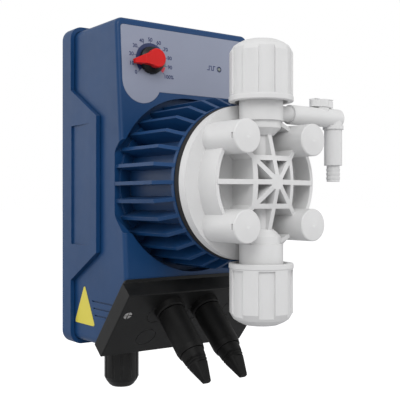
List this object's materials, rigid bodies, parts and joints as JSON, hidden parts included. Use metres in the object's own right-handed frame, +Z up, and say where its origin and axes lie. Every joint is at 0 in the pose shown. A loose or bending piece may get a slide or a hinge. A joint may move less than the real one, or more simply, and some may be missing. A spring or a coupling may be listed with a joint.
{
  "type": "diaphragm metering pump",
  "caption": "Wall-mounted solenoid metering pump: finned casing with a rate dial, terminal cover and cable gland, ribbed diaphragm head with ball valves, hose nuts and a bleed tap.",
  "frame": {"origin": "centre of the bracket's four wall-screw holes, on the wall plane, level with the pump head's axis", "axes": "+X to the right seen from the front, +Y into the wall (the pump faces -Y), +Z up"},
  "size_m": [0.1171, 0.1599, 0.2317],
  "materials": {
    "casing_blue": "fine moulded texture, satin",
    "panel_grey": "satin printed film",
    "knob_black": "satin",
    "pointer_red": "semi gloss",
    "lamp_red": "clear lens",
    "cover_black": "fine texture",
    "soft_black": "matt",
    "gland_black": "satin",
    "seal_rubber": "matt",
    "sticker_yellow": "printed film",
    "head_white": "natural moulding, slightly translucent look",
    "diaphragm_white": "smooth fluoropolymer face",
    "ceramic": "polished ceramic",
    "screw_steel": "bright",
    "magnet_steel": "zinc plated",
    "copper": "enamelled copper wire",
    "bobbin_nylon": "moulded",
    "bronze": "sintered",
    "board_green": "solder mask",
    "terminal_green": "moulded",
    "spring_steel": "polished wire"
  },
  "bodies": {
    "casing": {"wall_bracket": "casing_blue", "rear_shell": "casing_blue", "housing_seal": "seal_rubber", "housing_screws": "screw_steel", "front_shell": "casing_blue", "control_panel": "panel_grey", "potentiometer": "bobbin_nylon", "circuit_board": "board_green", "board_screws": "screw_steel", "status_leds": "lamp_red", "terminal_cover": "cover_black", "terminal_cover_screws": "screw_steel", "terminal_block": "terminal_green", "left_signal_socket": "soft_black", "left_plug_tail": "soft_black", "right_signal_socket": "soft_black", "right_plug_tail": "soft_black", "gland_body": "gland_black", "gland_locknut": "gland_black", "gland_seal": "seal_rubber", "side_sticker": "sticker_yellow", "backing_ring": "soft_black", "pump_head": "head_white", "head_screws": "screw_steel", "screw_caps": "head_white", "discharge_seat": "head_white", "discharge_valve_body": "head_white", "discharge_seal": "seal_rubber", "discharge_nozzle": "head_white", "suction_cage": "head_white", "suction_valve_body": "head_white", "suction_seal": "seal_rubber", "suction_nozzle": "head_white", "bleed_body": "head_white", "solenoid_yoke": "magnet_steel", "yoke_cover": "magnet_steel", "coil_bobbin": "bobbin_nylon", "coil_winding": "copper", "pole_core": "magnet_steel", "guide_bush": "bronze", "end_stop": "seal_rubber"},
    "armature": {"plunger": "magnet_steel", "push_rod": "screw_steel", "diaphragm": "diaphragm_white", "return_spring": "spring_steel"},
    "rate_control": {"rate_knob": "knob_black", "knob_pointer": "pointer_red", "rate_shaft": "screw_steel"},
    "discharge_ball": {"discharge_ball": "ceramic"},
    "suction_ball": {"suction_ball": "ceramic"},
    "discharge_clamp": {"discharge_clamp_ring": "head_white"},
    "discharge_nut": {"discharge_nut": "head_white"},
    "suction_clamp": {"suction_clamp_ring": "head_white"},
    "suction_nut": {"suction_nut": "head_white"},
    "gland_claw": {"gland_claw": "gland_black"},
    "gland_nut": {"gland_nut": "gland_black"},
    "bleed_knob": {"bleed_knob": "head_white"},
    "left_sleeve": {"left_plug_sleeve": "soft_black"},
    "right_sleeve": {"right_plug_sleeve": "soft_black"}
  },
  "joints": [
    {"name": "rate_turn", "type": "hinge", "parent": "casing", "child": "rate_control", "pos_m": [-0.0273, -0.07061, 0.07551], "axis": [0, -0.9975, 0.0711], "range_deg": [-227.5, 30.5]},
    {"name": "armature_stroke", "type": "slide", "parent": "casing", "child": "armature", "axis": [0, -1, 0], "range_m": [0, 0.00125], "stiffness_N_per_m": 2000, "springref_m": -0.002, "deforming": ["return_spring", "diaphragm"]},
    {"name": "discharge_lift", "type": "slide", "parent": "casing", "child": "discharge_ball", "axis": [0, 0, 1], "range_m": [0, 0.0015]},
    {"name": "suction_lift", "type": "slide", "parent": "casing", "child": "suction_ball", "axis": [0, 0, 1], "range_m": [0, 0.0015]},
    {"name": "discharge_back_off", "type": "slide", "parent": "casing", "child": "discharge_clamp", "axis": [0, 0, 1], "range_m": [0, 0.00363]},
    {"name": "discharge_turn", "type": "hinge", "parent": "discharge_clamp", "child": "discharge_nut", "pos_m": [0, -0.1418, 0.06], "axis": [0, 0, 1], "range_deg": [0, 720]},
    {"name": "suction_back_off", "type": "slide", "parent": "casing", "child": "suction_clamp", "axis": [0, 0, -1], "range_m": [0, 0.00363]},
    {"name": "suction_turn", "type": "hinge", "parent": "suction_clamp", "child": "suction_nut", "pos_m": [0, -0.1418, -0.06], "axis": [0, 0, -1], "range_deg": [0, 720]},
    {"name": "gland_back_off", "type": "slide", "parent": "casing", "child": "gland_claw", "axis": [0, 0, -1], "range_m": [0, 0.00363]},
    {"name": "gland_turn", "type": "hinge", "parent": "gland_claw", "child": "gland_nut", "pos_m": [-0.0285, -0.0375, -0.11], "axis": [0, 0, -1], "range_deg": [0, 720]},
    {"name": "bleed_turn", "type": "hinge", "parent": "casing", "child": "bleed_knob", "pos_m": [0.047, -0.1418, 0.045], "axis": [0, 0, 1], "range_deg": [0, 90]},
    {"name": "left_sleeve_turn", "type": "hinge", "parent": "casing", "child": "left_sleeve", "pos_m": [-0.02145, -0.08138, -0.07489], "axis": [0, -0.7163, -0.6978], "range_deg": [0, 90]},
    {"name": "right_sleeve_turn", "type": "hinge", "parent": "casing", "child": "right_sleeve", "pos_m": [0.00505, -0.08138, -0.07489], "axis": [0, -0.7163, -0.6978], "range_deg": [0, 90]}
  ],
  "couplings": [
    {"joint": "discharge_back_off", "follows": "discharge_turn", "m_per_rad": 0.00028871},
    {"joint": "suction_back_off", "follows": "suction_turn", "m_per_rad": 0.00028871},
    {"joint": "gland_back_off", "follows": "gland_turn", "m_per_rad": 0.00028871}
  ]
}
